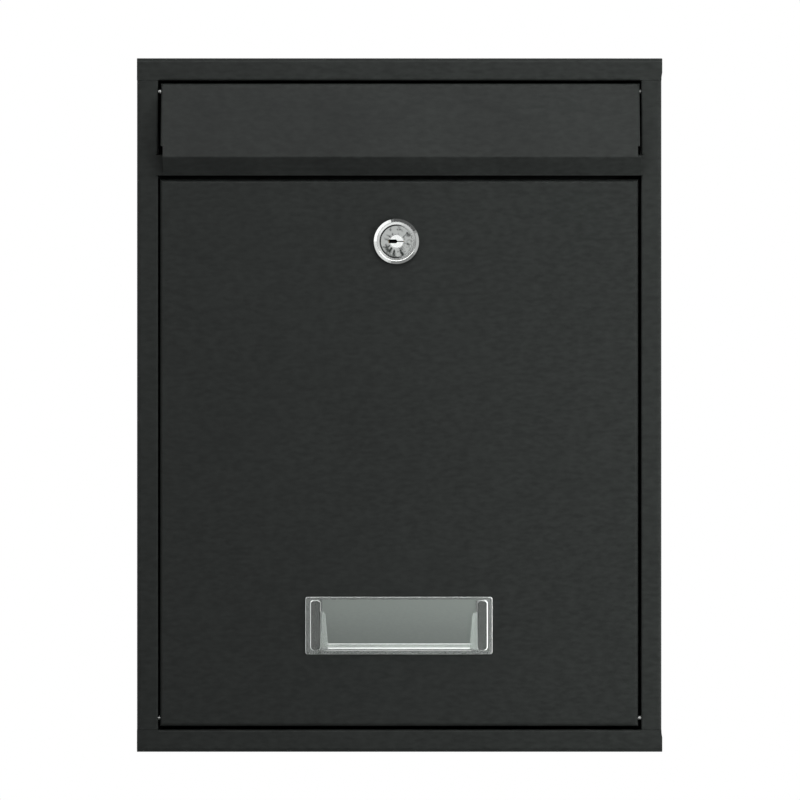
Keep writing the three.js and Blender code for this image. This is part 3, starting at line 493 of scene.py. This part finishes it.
def pale_floor():
    """A plain pale floor, well below the box, which hangs on a wall."""
    floor = plane("floor", (0, 0, FLOOR_Z), FLOOR_HALF)
    material, tree, shader = new_material("pale_floor")
    shader.inputs["Base Color"].default_value = (0.8, 0.8, 0.8, 1)
    shader.inputs["Roughness"].default_value = 0.9
    floor.data.materials.append(material)
    floor.visible_diffuse = False
    floor.visible_glossy = False
    floor.visible_shadow = False


def area_light(name, place, target, width, height, power):
    light = bpy.data.lights.new(name, "AREA")
    light.shape = "RECTANGLE"
    light.size = width
    light.size_y = height
    light.energy = power
    obj = bpy.data.objects.new(name, light)
    obj.location = place
    obj.rotation_euler = (Vector(target) - Vector(place)).to_track_quat("-Z", "Y").to_euler()
    bpy.context.scene.collection.objects.link(obj)
    return obj


# The tent is made of rings round the straight view of the front. Each is (the angle off that view where it
# starts, where it ends, how soft its edges are, parts), and each part is (from, to, brightness), round the
# front from the right through the top. All angles are in degrees.
TENT_RINGS = [
    (
        11,
        20,
        1.5,
        [
            (-190, -150, 0.55),
            (-150, -110, 0.75),
            (-110, -20, 1.1),
            (-20, 60, 0.65),
            (60, 150, 0.16),
            (150, 190, 0.3),
        ],
    ),
    (23, 34, 1.5, [(-145, 30, 0.1), (30, 150, 5.4)]),
    (34, 66, 2, [(105, 190, 1.4), (-190, -108, 0.9), (-108, -32, 0.28), (-32, 28, 0.62), (28, 105, 0.12)]),
    (66, 135, 8, [(62, 115, 0.3), (115, 190, 0.9), (-190, -108, 0.8), (-108, -60, 0.5), (-60, 62, 1.3)]),
]
PART_SOFTNESS = 5

# The tent's plain parts, each as (start, end, softness) off the straight view, and its brightness. A start
# below nothing leaves no edge in the middle.
FRONT_WINDOW = (-20, 33, 3)
FRONT_GLOW = 0.09  # level with the view, and brighter above
MIDDLE_WINDOW = (-20, 4.5, 1)
MIDDLE_GLOW = 1.05
BEHIND_WINDOW = (135, 200, 12)
BEHIND_GLOW = 0.5


def light_tent(tree):
    """The tent's brightness by direction: a dim front, a bright middle, rings round them, and the back."""
    coordinates = tree.nodes.new("ShaderNodeTexCoord")
    x, y, z = split_vector(tree, coordinates.outputs["Generated"])
    off_axis = math_node(tree, "ARCCOSINE", product(tree, y, -1.0))  # from straight in front
    turn = math_node(tree, "ARCTAN2", z, x)  # round the front, from the right through the top

    def window(value, start, end, soft):
        """One from start to end, and nothing outside, with soft edges."""
        opening = smooth_step(tree, value, math.radians(start - soft), math.radians(start + soft))
        closing = smooth_step(tree, value, math.radians(end + soft), math.radians(end - soft))
        return product(tree, opening, closing)

    def ring(start, end, soft, parts):
        around = [product(tree, window(turn, low, high, PART_SOFTNESS), level) for low, high, level in parts]
        return product(tree, window(off_axis, start, end, soft), total(tree, *around))

    upward = math_node(tree, "MAXIMUM", total(tree, product(tree, z, 3.0), 1.0), 0.2)
    front = product(tree, upward, FRONT_GLOW, window(off_axis, *FRONT_WINDOW))
    middle = product(tree, window(off_axis, *MIDDLE_WINDOW), MIDDLE_GLOW)
    behind = product(tree, window(off_axis, *BEHIND_WINDOW), BEHIND_GLOW)
    return total(tree, front, middle, *(ring(*sizes) for sizes in TENT_RINGS), behind)


def world():
    """Shows white behind the box, and lights it with the light tent."""
    scene_world = bpy.data.worlds.new("studio")
    scene_world.use_nodes = True
    bpy.context.scene.world = scene_world
    tree = scene_world.node_tree
    tree.nodes.clear()
    output = tree.nodes.new("ShaderNodeOutputWorld")
    shown = tree.nodes.new("ShaderNodeBackground")
    shown.inputs["Color"].default_value = (1, 1, 1, 1)
    shown.inputs["Strength"].default_value = 1.0
    lighting = tree.nodes.new("ShaderNodeBackground")
    lighting.inputs["Color"].default_value = (1, 1, 1, 1)
    link(tree, light_tent(tree), lighting.inputs["Strength"])
    rays = tree.nodes.new("ShaderNodeLightPath")
    mix = tree.nodes.new("ShaderNodeMixShader")
    link(tree, rays.outputs["Is Camera Ray"], mix.inputs["Fac"])
    link(tree, lighting.outputs["Background"], mix.inputs[1])
    link(tree, shown.outputs["Background"], mix.inputs[2])
    link(tree, mix.outputs["Shader"], output.inputs["Surface"])


def studio_lights():
    """Soft lights. Those that the glossy surfaces don't show leave no bright lines in the sheet's bends."""
    key = area_light("key", (0.33, FRONT_Y - 0.27, -0.08), (0, FRONT_Y, -0.08), 0.08, 0.5, 3.35)
    above = area_light("above", (0.05, FRONT_Y - 0.25, 0.42), (0, FRONT_Y, 0.15), 0.4, 0.05, 2.65)
    left = area_light("left", (-1.2, 0.35, 0.3), (-0.13, -0.05, 0), 0.6, 0.6, 8)
    for light in (key, above, left):
        light.visible_glossy = False
    area_light("back", (0.6, 1.6, 1.2), (0, 0, 0), 1.2, 1.0, 12)


def camera():
    data = bpy.data.cameras.new("camera")
    data.sensor_width = SENSOR
    data.lens = SENSOR * CAMERA_DISTANCE / VIEW_WIDTH
    data.clip_start = 0.05
    obj = bpy.data.objects.new("camera", data)
    obj.location = (VIEW_CENTRE[0], FRONT_Y - CAMERA_DISTANCE, VIEW_CENTRE[1])
    obj.rotation_euler = (math.radians(90), 0, 0)
    bpy.context.scene.collection.objects.link(obj)
    bpy.context.scene.camera = obj


pale_floor()
world()
studio_lights()
camera()
bpy.context.scene.view_settings.view_transform = "Standard"
